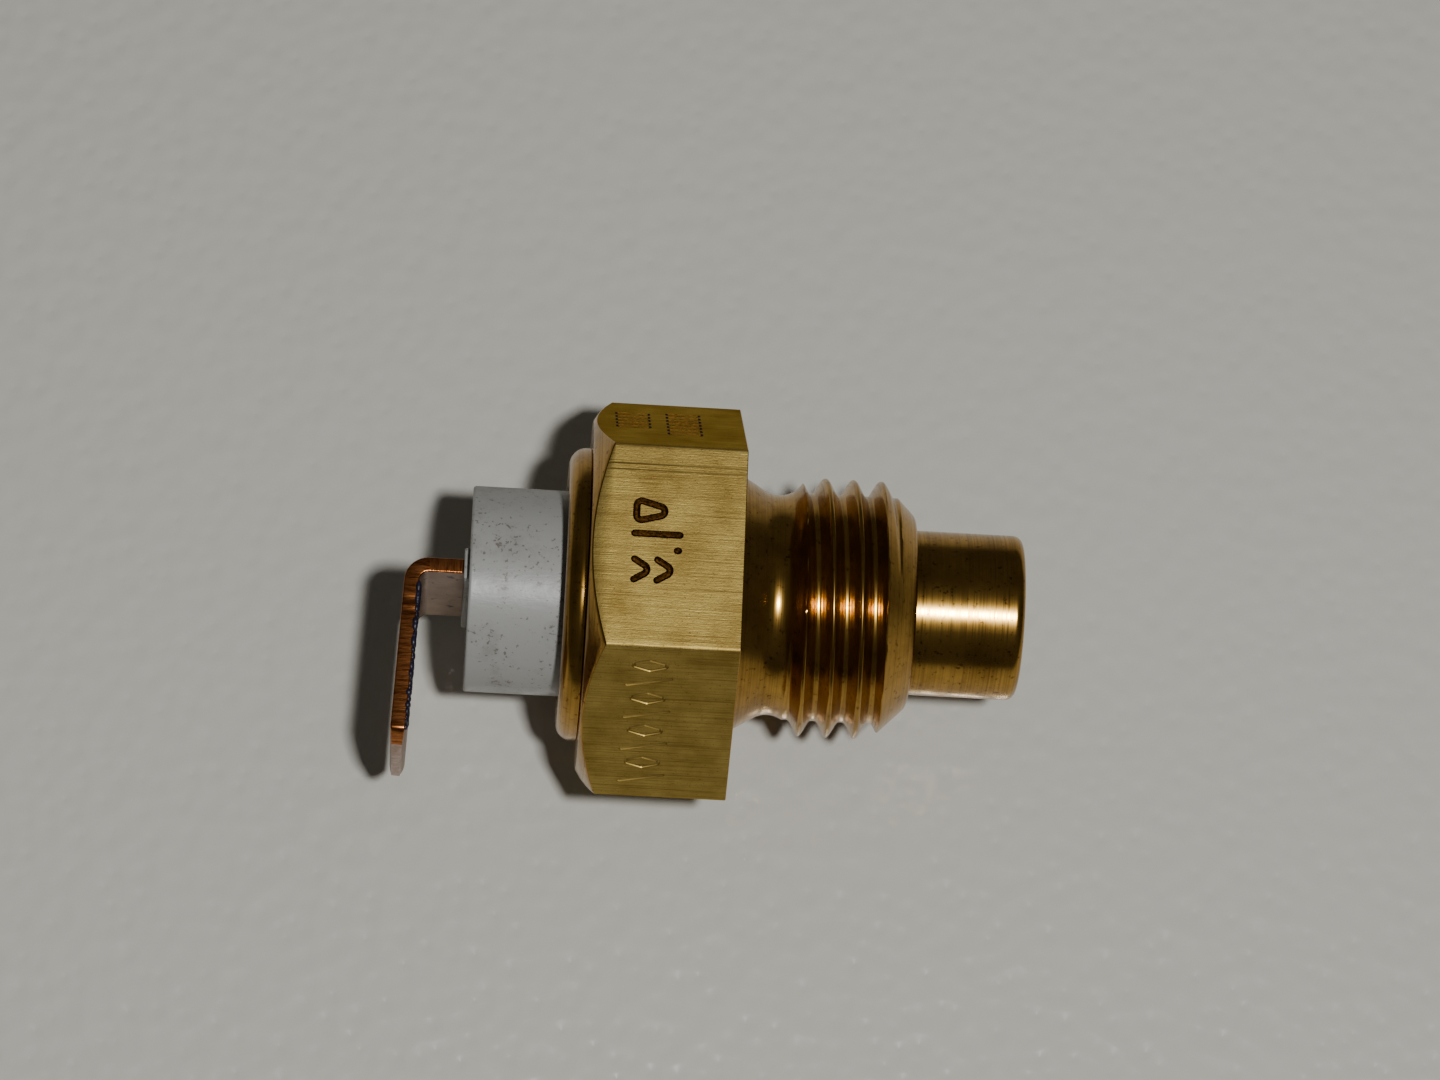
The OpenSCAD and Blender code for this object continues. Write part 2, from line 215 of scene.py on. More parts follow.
class SenderStackSizes(bpy.types.PropertyGroup):
    """Sizes of the contact stack in the bore."""

    wire_r: length("Wire radius", "Radius of the spring's wire", 0.25 * MM)
    closed_pitch: length("Closed pitch", "Pitch of the closed end turns", 0.52 * MM)
    turns: count("Turns", "Turns of the spring, with one closed turn at each end", 8)
    travel: length("Travel", "How far the cap can move back", 0.8 * MM)
    hub_r: length("Hub radius", "Radius of the cap's hub", 1.45 * MM)
    cap_flange_t: length("Cap flange", "Thickness of the cap's flange", 1 * MM)
    sleeve_wall: length("Sleeve wall", "Wall of the insulating sleeve", 0.3 * MM)


class SenderColours(bpy.types.PropertyGroup):
    """Colours of the finishes."""

    brass: colour("Brass", "Clean brass", "#C6AC60")
    brass_dull: colour("Dull brass", "Brass with a light brown tarnish", "#A58A48")
    turned: colour("Turned brass", "Warmer brass where the tool has cut", "#BE9448")
    turned_dull: colour("Dull turned brass", "Turned brass with a brown tarnish", "#9A7434")
    brass_stain: colour("Stained brass", "Oil-browned brass in grooves and marks", "#5E3D17")
    brass_soot: colour("Sooty brass", "Dirt packed into the pressed marks", "#2E1E0C")
    brass_glare: colour("Glancing brass", "Tint of drawn brass at a glancing angle", "#BCA582")
    plastic: colour("Plastic", "Pale grey nylon", "#A0A09C")
    plastic_dirt: colour("Plastic dirt", "Handling dirt on the nylon", "#655D50")
    copper: colour("Copper", "Fresh copper on the sheared edges", "#C98048")
    copper_dark: colour("Dark copper", "Oxidised copper on the sheared edges", "#7C4520")
    tinned: colour("Tinned copper", "Dull grey tinning on the strip's faces", "#86705F")
    tinned_spot: colour("Tinning spots", "Dark spots in the tinning", "#3A3037")
    tin: colour("Tin", "Cleaner tinning on the strip's faces", "#9C8473")
    # Painted highlight: this pale colour on the blade's tip stands in for the light that its bevelled end
    # reflects.
    tip: colour("Tip", "Bare tin at the blade's tip", "#C4AA9E")
    floor: colour("Floor", "Pale grey table top", "#D2D0C6")


class SenderStage(bpy.types.PropertyGroup):
    """The floor, the light and the camera."""

    target: bpy.props.FloatVectorProperty(
        name="Target",
        description="Point that the camera looks at",
        default=(-0.842 * MM, 3.49 * MM, 0),
        subtype="TRANSLATION",
        unit="LENGTH",
    )
    distance: length("Distance", "From the target to the camera", 294 * MM)
    elevation: angle("Elevation", "Height of the camera above the horizon", 72.16)
    azimuth: angle("Azimuth", "Turn of the camera round the object, from the -Y side", -8.93)
    roll: angle("Roll", "Turn of the camera about its own line of sight", 11.66)
    lens: bpy.props.FloatProperty(
        name="Lens",
        description="Focal length in millimetres",
        default=136.8,
        min=1,
        subtype="DISTANCE_CAMERA",
    )
    light_side: length("Light offset", "How far the main light stands to the camera's right", 49 * MM)
    light_up: length("Light height", "How far the main light stands above the camera", 8 * MM)
    light_size: length("Light size", "Width of the main light", 18 * MM)
    light_power: bpy.props.FloatProperty(
        name="Light power", description="Power of the main light", default=0.66, min=0, unit="POWER"
    )
    room: bpy.props.FloatProperty(
        name="Room light", description="Strength of the soft room light", default=0.055, min=0
    )
    floor_size: length("Floor size", "Width of the floor", 1.6)


# Materials. Patterns use object coordinates, so a scale of per_mm(n) gives n features to the millimetre.

MIX_A, MIX_B, MIX_COLOUR = 6, 7, 2
MIX_VECTOR_A, MIX_VECTOR_B, MIX_VECTOR = 4, 5, 1


def per_mm(features):
    """Texture scale that puts so many features in a millimetre."""
    return features / MM


def add(tree, kind, inputs=(), **settings):
    """Adds a node, with its settings, and with each named input linked if it is a socket and set if not."""
    made = tree.nodes.new(kind)
    for name, value in settings.items():
        setattr(made, name, value)
    for socket, value in dict(inputs).items():
        if isinstance(value, bpy.types.NodeSocket):
            tree.links.new(value, made.inputs[socket])
        else:
            made.inputs[socket].default_value = value
    return made


def start_material(name):
    """A material with an empty node tree, and the object coordinates that its pattern follows."""
    material = bpy.data.materials.new(name)
    material.use_nodes = True
    tree = material.node_tree
    tree.nodes.clear()
    return material, tree, add(tree, "ShaderNodeTexCoord").outputs["Object"]


def finish_material(material, tree, **shader):
    """Ends the tree with one Principled shader, whose inputs are given with _ for a space."""
    inputs = {name.replace("_", " "): value for name, value in shader.items()}
    surface = add(tree, "ShaderNodeBsdfPrincipled", inputs)
    add(tree, "ShaderNodeOutputMaterial", {"Surface": surface.outputs[0]})
    return material


def opaque(rgb):
    """A colour setting as the four numbers that a socket takes."""
    return (*rgb, 1)


def blend(tree, factor, first, second):
    """The colour between two colours or colour sockets, by a factor socket."""
    mix = add(tree, "ShaderNodeMix", {"Factor": factor, MIX_A: first, MIX_B: second}, data_type="RGBA")
    return mix.outputs[MIX_COLOUR]


def spread(tree, value, low, high, to_low=0.0, to_high=1.0):
    """Maps a pattern's values between low and high onto another range, and holds them there."""
    inputs = {"Value": value, "From Min": low, "From Max": high, "To Min": to_low, "To Max": to_high}
    return add(tree, "ShaderNodeMapRange", inputs).outputs[0]


def grain(tree, place, features, stretch=(1, 1, 1), detail=3, roughness=0.6):
    """A noise with so many features to the millimetre, drawn out where stretch is under 1."""
    mapped = add(tree, "ShaderNodeMapping", {"Vector": place, "Scale": stretch}).outputs[0]
    inputs = {"Vector": mapped, "Scale": per_mm(features), "Detail": detail, "Roughness": roughness}
    return add(tree, "ShaderNodeTexNoise", inputs).outputs[0]


def raised(tree, height, distance, below=None):
    """A bump of that height, on top of an earlier bump if one is given."""
    inputs = {"Height": height, "Distance": distance, "Strength": 1.0}
    if below:
        inputs["Normal"] = below
    return add(tree, "ShaderNodeBump", inputs).outputs[0]


def turning_place(tree, place):
    """Coordinates (x, radius, 0), in which the rings that a lathe tool leaves are straight lines."""
    parts = add(tree, "ShaderNodeSeparateXYZ", {"Vector": place}).outputs
    across = add(tree, "ShaderNodeCombineXYZ", {"Y": parts["Y"], "Z": parts["Z"]}).outputs[0]
    radius = add(tree, "ShaderNodeVectorMath", {0: across}, operation="LENGTH").outputs["Value"]
    return add(tree, "ShaderNodeCombineXYZ", {"X": parts["X"], "Y": radius}).outputs[0]


def drawn_brass(colours):
    """Brass drawn through a hexagonal die: fine bright lines along the bar, over a satin golden grey."""
    material, tree, place = start_material("Drawn brass bar")
    lines = grain(tree, place, 13, (0.012, 1, 1), 4, 0.8)
    fine = grain(tree, place, 16, (0.12, 1, 1), 2)
    patches = grain(tree, place, 0.45, detail=4)
    pits = grain(tree, place, 11, detail=1)
    dull = blend(tree, spread(tree, patches, 0.35, 0.7), opaque(colours.brass), opaque(colours.brass_dull))
    lined = blend(tree, spread(tree, lines, 0.48, 0.72, 0, 0.75), dull, opaque(colours.brass_stain))
    pitted = blend(tree, spread(tree, pits, 0.66, 0.74, 0, 0.6), lined, opaque(colours.brass_stain))
    relief = raised(tree, lines, 0.012 * MM)
    relief = raised(tree, fine, 0.006 * MM, relief)
    relief = raised(tree, pits, 0.006 * MM, relief)
    rough = spread(tree, lines, 0.3, 0.7, 0.44, 0.56)
    glare = opaque(colours.brass_glare)
    return finish_material(
        material, tree, Base_Color=pitted, Metallic=1.0, Roughness=rough, Specular_Tint=glare, Normal=relief
    )


def die_scored_brass(colours):
    """Bright scores that a nick in the die leaves along one flat."""
    material, tree, place = start_material("Die scored brass")
    lines = grain(tree, place, 5, (0.05, 1, 1), 3)
    tone = blend(tree, spread(tree, lines, 0.35, 0.7), opaque(colours.brass), opaque(colours.brass_dull))
    relief = raised(tree, lines, 0.006 * MM)
    return finish_material(material, tree, Base_Color=tone, Metallic=1.0, Roughness=0.42, Normal=relief)


def turned_brass(colours):
    """Turned brass: close rings from the tool, glossy, with brown oil specks and an uneven tarnish."""
    material, tree, place = start_material("Turned brass")
    turning = turning_place(tree, place)
    rings = grain(tree, turning, 9, detail=3, roughness=0.7)
    patches = grain(tree, place, 0.5, detail=5)
    specks = grain(tree, place, 4, detail=2)
    dull = blend(tree, spread(tree, patches, 0.4, 0.7), opaque(colours.turned), opaque(colours.turned_dull))
    ringed = blend(tree, spread(tree, rings, 0.45, 0.75, 0, 0.6), dull, opaque(colours.brass_stain))
    specked = blend(tree, spread(tree, specks, 0.62, 0.7, 0, 0.8), ringed, opaque(colours.brass_stain))
    relief = raised(tree, rings, 0.0015 * MM)
    rough = spread(tree, rings, 0.3, 0.7, 0.14, 0.26)
    return finish_material(material, tree, Base_Color=specked, Metallic=1.0, Roughness=rough, Normal=relief)


def pressed_brass(colours):
    """Brass pressed by a steel stamp: darker at the bottom, where oil and dirt stay."""
    material, tree, place = start_material("Stamped brass")
    dents = grain(tree, place, 7, detail=2)
    sooty = spread(tree, dents, 0.4, 0.65)
    tone = blend(tree, sooty, opaque(colours.brass_stain), opaque(colours.brass_soot))
    relief = raised(tree, dents, 0.02 * MM)
    return finish_material(material, tree, Base_Color=tone, Metallic=1.0, Roughness=0.5, Normal=relief)


def moulded_nylon(colours):
    """Glass-filled nylon, moulded: satin pale grey with a fine grain, smudges and dark specks of dirt."""
    material, tree, place = start_material("Glass-filled nylon")
    smudges = grain(tree, place, 0.5, detail=5)
    specks = grain(tree, place, 4.2, detail=3)
    fibres = grain(tree, place, 6, (0.3, 1, 1), 2)
    clean = opaque(colours.plastic)
    smudged = blend(tree, spread(tree, smudges, 0.5, 0.8, 0, 0.45), clean, opaque(colours.plastic_dirt))
    gather = spread(tree, smudges, 0.35, 0.7, 0.88, 1.12)
    gathered = add(tree, "ShaderNodeMath", {0: specks, 1: gather}, operation="MULTIPLY").outputs[0]
    shown = spread(tree, gathered, 0.6, 0.66, 0, 0.75)
    dirty = blend(tree, shown, smudged, opaque(colours.plastic_dirt))
    relief = raised(tree, fibres, 0.006 * MM)
    relief = raised(tree, smudges, 0.03 * MM, relief)
    rough = spread(tree, smudges, 0.3, 0.7, 0.33, 0.43)
    return finish_material(material, tree, Base_Color=dirty, Roughness=rough, IOR=1.53, Normal=relief)


def strip_place(tree, place, bend_x):
    """Coordinates drawn out across the strip, in its straight run and in its bent leg."""
    parts = add(tree, "ShaderNodeSeparateXYZ", {"Vector": place}).outputs
    in_run = add(tree, "ShaderNodeMath", {0: parts["X"], 1: bend_x}, operation="GREATER_THAN").outputs[0]
    leg = add(tree, "ShaderNodeMapping", {"Vector": place, "Scale": (0.12, 1, 0.12)}).outputs[0]
    run = add(tree, "ShaderNodeMapping", {"Vector": place, "Scale": (1, 0.12, 0.12)}).outputs[0]
    inputs = {"Factor": in_run, MIX_VECTOR_A: leg, MIX_VECTOR_B: run}
    return add(tree, "ShaderNodeMix", inputs, data_type="VECTOR").outputs[MIX_VECTOR]


def sheared_copper(colours, bend_x):
    """Sheared copper edge: warm and glossy, with close marks across the strip from the punch."""
    material, tree, place = start_material("Sheared copper edge")
    across = strip_place(tree, place, bend_x)
    marks = grain(tree, across, 9, detail=3, roughness=0.7)
    stains = grain(tree, place, 1.2, detail=3)
    marked = blend(tree, spread(tree, marks, 0.4, 0.65), opaque(colours.copper), opaque(colours.copper_dark))
    tone = blend(tree, spread(tree, stains, 0.5, 0.8, 0, 0.6), marked, opaque(colours.copper_dark))
    relief = raised(tree, marks, 0.01 * MM)
    return finish_material(material, tree, Base_Color=tone, Metallic=1.0, Roughness=0.24, Normal=relief)


def tinned_strip(colours):
    """Tinned copper strip, rolled: dull pinkish grey, with dark spots where the tin has worn."""
    material, tree, place = start_material("Tinned copper strip")
    clouds = grain(tree, place, 1.1, detail=4)
    spots = grain(tree, place, 1.7, detail=2)
    clouded = blend(tree, spread(tree, clouds, 0.35, 0.7), opaque(colours.tin), opaque(colours.tinned))
    tone = blend(tree, spread(tree, spots, 0.64, 0.7, 0, 0.9), clouded, opaque(colours.tinned_spot))
    relief = raised(tree, clouds, 0.015 * MM)
    return finish_material(material, tree, Base_Color=tone, Metallic=0.75, Roughness=0.48, Normal=relief)


def tip_painted_highlight(colours):
    """Painted highlight on the tip: pale, soft and slightly pink, for the light that its bevel reflects; no
    gloss.
    """
    material, tree, place = start_material("Tip painted highlight")
    clouds = grain(tree, place, 2.5, detail=3)
    tone = blend(tree, spread(tree, clouds, 0.35, 0.7), opaque(colours.tip), opaque(colours.tin))
    relief = raised(tree, clouds, 0.02 * MM)
    return finish_material(material, tree, Base_Color=tone, Metallic=0.6, Roughness=0.5, Normal=relief)


def two_tone(name, light, dark, features, height, stretch=(1, 1, 1), **shader):
    """A finish with one grain that sets both its tone and its relief, for the small inner pieces."""
    material, tree, place = start_material(name)
    pattern = grain(tree, place, features, stretch, 4)
    tone = blend(tree, spread(tree, pattern, 0.35, 0.65), opaque(linear(light)), opaque(linear(dark)))
    return finish_material(material, tree, Base_Color=tone, Normal=raised(tree, pattern, height), **shader)


def table_top(colours):
    """Pale laminate with a fine pebbled emboss, which breaks its sheen into small glints."""
    material, tree, place = start_material("Pebbled laminate")
    pebbles = add(tree, "ShaderNodeTexVoronoi", {"Vector": place, "Scale": per_mm(0.9)}, feature="SMOOTH_F1")
    relief = raised(tree, pebbles.outputs["Distance"], 0.14 * MM)
    floor = opaque(colours.floor)
    return finish_material(material, tree, Base_Color=floor, Roughness=0.18, IOR=1.5, Normal=relief)


# Mesh building


def corner_arc(before, corner, after, radius, step=math.radians(15)):
    """Points of the arc that rounds a corner of an outline."""
    to_before = (Vector(before) - Vector(corner)).normalized()
    to_after = (Vector(after) - Vector(corner)).normalized()
    half = to_before.angle(to_after) / 2
    centre = Vector(corner) + (to_before + to_after).normalized() * radius / math.sin(half)
    reach = radius / math.tan(half)
    first = Vector(corner) + to_before * reach - centre
    last = Vector(corner) + to_after * reach - centre
    start = math.atan2(first.y, first.x)
    turn = (math.atan2(last.y, last.x) - start + math.pi) % FULL_TURN - math.pi
    steps = max(2, math.ceil(abs(turn) / step))
    angles = [start + turn * k / steps for k in range(steps + 1)]
    return [(centre.x + radius * math.cos(a), centre.y + radius * math.sin(a)) for a in angles]


def rounded(outline, closed=False):
    """Points of an outline whose corners are (x, y, radius)."""
    points = []
    for i, (x, y, radius) in enumerate(outline):
        if radius:
            before = outline[i - 1][:2]
            after = outline[(i + 1) % len(outline)][:2]
            points += corner_arc(before, (x, y), after, radius)
        else:
            points.append((x, y))
    return points + points[:1] if closed else points


def even_angles(sides):
    """Angles from +Y of evenly spaced columns around the axis."""
    return [FULL_TURN * k / sides for k in range(sides)]


def to_object(mesh, name):
    """Turns a bmesh into an object whose faces look outward."""
    bmesh.ops.recalc_face_normals(mesh, faces=mesh.faces[:])
    data = bpy.data.meshes.new(name)
    mesh.to_mesh(data)
    mesh.free()
    made = bpy.data.objects.new(name, data)
    bpy.context.collection.objects.link(made)
    return made


class Skin:
    """A mesh grown ring by ring. A place is (x, radius), and a ring has one point per column."""

    def __init__(self, angles):
        self.mesh = bmesh.new()
        self.angles = angles
        self.ring = None

    def point(self, x, radius, turn):
        """A vertex at that place, turned from +Y towards +Z."""
        return self.mesh.verts.new((x, radius * math.cos(turn), radius * math.sin(turn)))

    def patch(self, finish, *corners):
        """One face, leaving out corners that repeat."""
        distinct = [v for i, v in enumerate(corners) if v is not corners[i - 1]]
        if len(distinct) > 2:
            self.mesh.faces.new(distinct).material_index = finish

    def join(self, ring, finish=0):
        """Joins a ring of vertices to the last ring. finish is one material index, or one per column."""
        if self.ring:
            total = len(ring)
            finishes = finish if isinstance(finish, list) else [finish] * total
            for i in range(total):
                k = (i + 1) % total
                self.patch(finishes[i], self.ring[i], self.ring[k], ring[k], ring[i])
        self.ring = ring

    def through(self, places, finish=0):
        """Adds a ring with its own place in each column."""
        self.join([self.point(x, r, a) for (x, r), a in zip(places, self.angles)], finish)

    def lathe(self, outline, finish=0):
        """Adds a ring for each (x, radius) of an outline, or a single point where it meets the axis."""
        for x, radius in outline:
            if radius:
                self.through([(x, radius)] * len(self.angles), finish)
            else:
                self.join([self.mesh.verts.new((x, 0, 0))] * len(self.angles), finish)

    def close(self, first, finish=0):
        """Joins the last ring to the first one."""
        self.join(first, finish)

    def object(self, name):
        """Turns the skin into an object."""
        return to_object(self.mesh, name)


def turned(name, outline, sides=96, closed=False):
    """A turned piece from corners (x, radius, rounding), closed into a ring or running from axis to axis."""
    skin = Skin(even_angles(sides))
    points = rounded(outline, closed)
    if closed:
        skin.lathe(points[:1])
        first = skin.ring
        skin.lathe(points[1:-1])
        skin.close(first)
    else:
        skin.lathe(points)
    return skin.object(name)


def tube_section(start_x, end_x, inner_r, outer_r, corner):
    """Corners of a tube's section, all rounded alike."""
    return [
        (start_x, inner_r, corner),
        (end_x, inner_r, corner),
        (end_x, outer_r, corner),
        (start_x, outer_r, corner),
    ]


def carve(target, tool, operation="DIFFERENCE"):
    """Cuts another object out of the target, or joins it on, and removes that object."""
    change = target.modifiers.new("carve", "BOOLEAN")
    change.object = tool
    change.operation = operation
    change.solver = "EXACT"
    carved = bpy.data.meshes.new_from_object(target.evaluated_get(bpy.context.evaluated_depsgraph_get()))
    target.modifiers.clear()
    target.data = carved
    bpy.data.objects.remove(tool)


def block(name, low, high, bevel=0):
    """A box between two corners, with its edges rounded if a bevel is given."""
    mesh = bmesh.new()
    bmesh.ops.create_cube(mesh, size=1)
    for vert in mesh.verts:
        vert.co = [lo + (c + 0.5) * (hi - lo) for c, lo, hi in zip(vert.co, low, high)]
    if bevel:
        bmesh.ops.bevel(mesh, geom=mesh.edges[:], offset=bevel, segments=4, profile=0.5, affect="EDGES")
    return to_object(mesh, name)


def dress(made, materials, node, body="housing", sharp=32):
    """Shades a piece, gives it its materials, hides the CAD node that it stands for and hangs it on what it
    rides on.
    """
    for material in materials:
        made.data.materials.append(material)
    made.data.shade_smooth()
    made.data.set_sharp_from_angle(angle=math.radians(sharp))
    weighted = made.modifiers.new("even shading", "WEIGHTED_NORMAL")
    weighted.keep_sharp = True
    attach(made, body)
    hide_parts(node)


# Brass body

DRAWN, TURNED, PRESSED, SCORED = range(4)
ARC_STEPS = 14


def hexagon_angles():
    """Angles of the body's columns: close together at the hexagon's corners and even elsewhere."""
    near = [0, 0.25, 0.55, 1.2, 2.4]
    sector = near + list(range(4, 58, 2)) + [60 - a for a in reversed(near[1:])]
    return [math.radians(60 * k + a) for k in range(6) for a in sector]


def hexagon_radius(body, turn):
    """Radius of the hexagon's outline, with its rounded corners, at an angle from +Y."""
    off = abs((turn + math.pi / 6) % (math.pi / 3) - math.pi / 6)
    corner_centre = (body.hex_af / 2 - body.hex_corner) / math.cos(math.pi / 6)
    lean = math.pi / 6 - off
    flat_end = math.atan2(
        body.hex_corner / 2, corner_centre + body.hex_corner * math.cos(math.pi / 6)
    )
    if off >= flat_end:
        return body.hex_af / 2 / math.cos(lean)
    side = corner_centre * math.sin(off)
    return corner_centre * math.cos(off) + math.sqrt(body.hex_corner ** 2 - side ** 2)


def soft_step(value, softness=0.18):
    """Zero below 0 and the value itself above, with the corner between them rounded."""
    if value <= -softness:
        return 0
    if value >= softness:
        return value
    return (value + softness) ** 2 / (4 * softness)


def thread_radius(body, x, turn):
    """Radius of the shank at a place: the relief arc, the right-hand thread or the lead-in cone."""
    radii = [body.thread_r + body.shank_len - body.lead_in - x]
    from_relief = x - body.relief_x
    if abs(from_relief) < body.relief_r:
        arc_centre = body.relief_floor_r + body.relief_r
        radii.append(arc_centre - math.sqrt(body.relief_r ** 2 - from_relief ** 2))
    phase = (x - body.crest_x) / body.pitch - turn / FULL_TURN
    from_crest = abs(phase - round(phase)) * body.pitch
    flank = body.depth * math.tan(math.pi / 6)
    drop = (from_crest - body.pitch / 16) / flank
    radii.append(body.thread_r - body.depth * (soft_step(drop) - soft_step(drop - 1)))
    return min(radii)


def grow_thread(skin, body, start_x, end_x, steps=24):
    """Grows the thread from the last ring to end_x. Its rows climb with the helix, so crests stay crisp."""
    step = body.pitch / steps
    total = len(skin.angles)
    start = skin.ring
    end = [skin.point(end_x, thread_radius(body, end_x, a), a) for a in skin.angles]
    made = {}

    def vertex(row, column):
        if column == total:
            row += steps
            column = 0
        turn = skin.angles[column]
        x = start_x + (row - steps) * step + body.pitch * turn / FULL_TURN
        if x < start_x + 0.01 * step:
            return start[column]
        if x > end_x - 0.01 * step:
            return end[column]
        if (row, column) not in made:
            made[row, column] = skin.point(x, thread_radius(body, x, turn), turn)
        return made[row, column]

    for row in range(math.ceil((end_x - start_x) / step) + steps):
        for column in range(total):
            corners = vertex(row, column), vertex(row, column + 1)
            skin.patch(TURNED, *corners, vertex(row + 1, column + 1), vertex(row + 1, column))
    skin.ring = end


def body_skin(body):
    """The body's surface, from the bore's floor round the rim and over the thread to the nose's end."""
    skin = Skin(hexagon_angles())
    rim_x = BODY_BACK.x
    lip_front = rim_x + body.lip_t
    edge = body.edge
    skin.lathe(
        rounded([
            (body.bore_end_x, 0, 0),
            (body.bore_end_x, body.bore_r, 0.2 * MM),
            (body.pocket_x, body.bore_r, 0.1 * MM),
            (body.pocket_x, body.pocket_r, 0.2 * MM),
            (lip_front, body.pocket_r, 0.1 * MM),
            (lip_front, body.lip_r, 2 * edge),
            (rim_x, body.lip_r, 3 * edge),
            (rim_x, body.roll_centre_r, 0),
        ]),
        TURNED,
    )
    # The roll's arc ends in a short cylinder, with a small groove where it meets the hexagon
    roll_x = rim_x + body.roll_r
    rim_r = body.roll_centre_r + body.roll_r
    for k in range(1, ARC_STEPS + 1):
        turn = math.pi * (1 - k / (2 * ARC_STEPS))
        place = roll_x + body.roll_r * math.cos(turn), body.roll_centre_r + body.roll_r * math.sin(turn)
        skin.lathe([place], TURNED)
    skin.lathe([(-body.hex_len - body.rim_groove, rim_r), (-body.hex_len, rim_r - body.rim_groove)], TURNED)
    face_end = (-body.hex_len, body.chamfer_r - edge)
    chamfer_start = (-body.hex_len + edge / 3, body.chamfer_r + edge / 2)
    skin.lathe([face_end, chamfer_start], TURNED)

    # The chamfer is a cone, so it climbs further along the axis at the corners than at the flats
    flats = [hexagon_radius(body, a) for a in skin.angles]
    slope = math.tan(body.chamfer_slope)
    cone = [(body.chamfer_r, r) for r in flats]
    for share in (0.25, 0.5, 0.75, 1):
        radii = [low + share * (high - edge - low) for low, high in cone]
        skin.through([(-body.hex_len + (r - body.chamfer_r) * slope, r) for r in radii], TURNED)
    starts = [-body.hex_len + (r - body.chamfer_r) * slope for r in flats]
    skin.through([(x + edge, r) for x, r in zip(starts, flats)], TURNED)
    straight = max(starts) + 2 * edge
    for k in range(9):
        x = straight + (-edge - straight) * k / 8
        skin.through([(x, r) for r in flats], DRAWN)
    skin.through([(0, r - edge) for r in flats], TURNED)

    # Sealing face and relief groove
    arc_centre_r = body.relief_floor_r + body.relief_r
    first = -body.relief_slope
    last = math.asin(1 / 3)
    tangent_x = body.relief_x + body.relief_r * math.sin(first)
    tangent_r = arc_centre_r - body.relief_r * math.cos(first)
    wall_r = tangent_r + tangent_x * math.tan(body.relief_slope)
    face_r = body.hex_af / 2 - 0.3 * MM
    skin.lathe(rounded([(0, face_r, 0), (0, wall_r, edge), (tangent_x, tangent_r, 0)]), TURNED)
    for k in range(1, ARC_STEPS + 1):
        turn = first + (last - first) * k / ARC_STEPS
        place = body.relief_x + body.relief_r * math.sin(turn), arc_centre_r - body.relief_r * math.cos(turn)
        skin.lathe([place], TURNED)

    # Thread, then the lead-in cone, the shank's end face and the nose
    root_r = body.thread_r - body.depth
    cone_x = body.shank_len - body.lead_in + body.depth + 0.1 * MM
    grow_thread(skin, body, body.relief_x + body.relief_r / 3, cone_x)
    nose_x = BODY_FRONT.x
    skin.lathe(
        rounded([
            (cone_x + edge, root_r - 0.1 * MM - edge, 0),
            (body.shank_len, body.thread_r - body.lead_in, body.lead_in_round),
            (body.shank_len, body.nose_r, edge),
            (nose_x, body.nose_r, body.nose_corner),
            (nose_x, 0, 0),
        ]),
        TURNED,
    )
    return skin


def stroke_path(corners, closed, softness):
    """Points of a stroke, with its bends softened."""
    ends = (0, len(corners) - 1)
    outline = [(x, y, 0 if i in ends and not closed else softness) for i, (x, y) in enumerate(corners)]
    return rounded(outline)


def stamp_tool(marks, finish):
    """One object holding every stroke as a round bar, sunk to its depth. A mark is
    (corners, closed, width, depth, origin, across, normal), with corners along X and along across."""
    curve = bpy.data.curves.new("stamp", "CURVE")
    curve.dimensions = "3D"
    curve.bevel_depth = MM
    curve.bevel_resolution = 3
    curve.use_fill_caps = True
    for corners, closed, width, depth, origin, across, normal in marks:
        radius = (width ** 2 / 4 + depth ** 2) / (2 * depth)
        path = [Vector(p) for p in stroke_path(corners, closed, 1.3 * radius)]
        sizes = [1] * len(path)
        if not closed:
            before = (path[0] - path[1]).normalized()
            after = (path[-1] - path[-2]).normalized()
            lead = [(path[0] + before * radius * s, c) for s, c in ((0.95, 0.3), (0.8, 0.6), (0.5, 0.86))]
            tail = [(path[-1] + after * radius * s, c) for s, c in ((0.5, 0.86), (0.8, 0.6), (0.95, 0.3))]
            path = [p for p, _ in lead] + path + [p for p, _ in tail]
            sizes = [c for _, c in lead] + sizes + [c for _, c in tail]
        spline = curve.splines.new("POLY")
        spline.points.add(len(path) - 1)
        spline.use_cyclic_u = closed
        for place, size, spline_point in zip(path, sizes, spline.points):
            spot = Vector((place.x, 0, 0)) + origin + across * place.y + normal * (radius - depth)
            spline_point.co = (*spot, 1)
            spline_point.radius = size * radius / MM
    drawn = bpy.data.objects.new("stamp", curve)
    bpy.context.collection.objects.link(drawn)
    bars = bmesh.new()
    bars.from_mesh(drawn.evaluated_get(bpy.context.evaluated_depsgraph_get()).to_mesh())
    bpy.data.objects.remove(drawn)
    # The end caps come as separate faces
    bmesh.ops.remove_doubles(bars, verts=bars.verts[:], dist=0.0005 * MM)
    for face in bars.faces:
        face.material_index = finish
    return to_object(bars, "stamp tool")


def flat_frame(body, degrees):
    """Middle, cross direction and normal of the hexagon's flat that faces that way from +Y."""
    turn = math.radians(degrees)
    normal = Vector((0, math.cos(turn), math.sin(turn)))
    across = Vector((0, math.sin(turn), -math.cos(turn)))
    return normal * body.hex_af / 2, across, normal


def in_mm(*corners):
    """Corners given in millimetres, in metres."""
    return [(x * MM, y * MM) for x, y in corners]


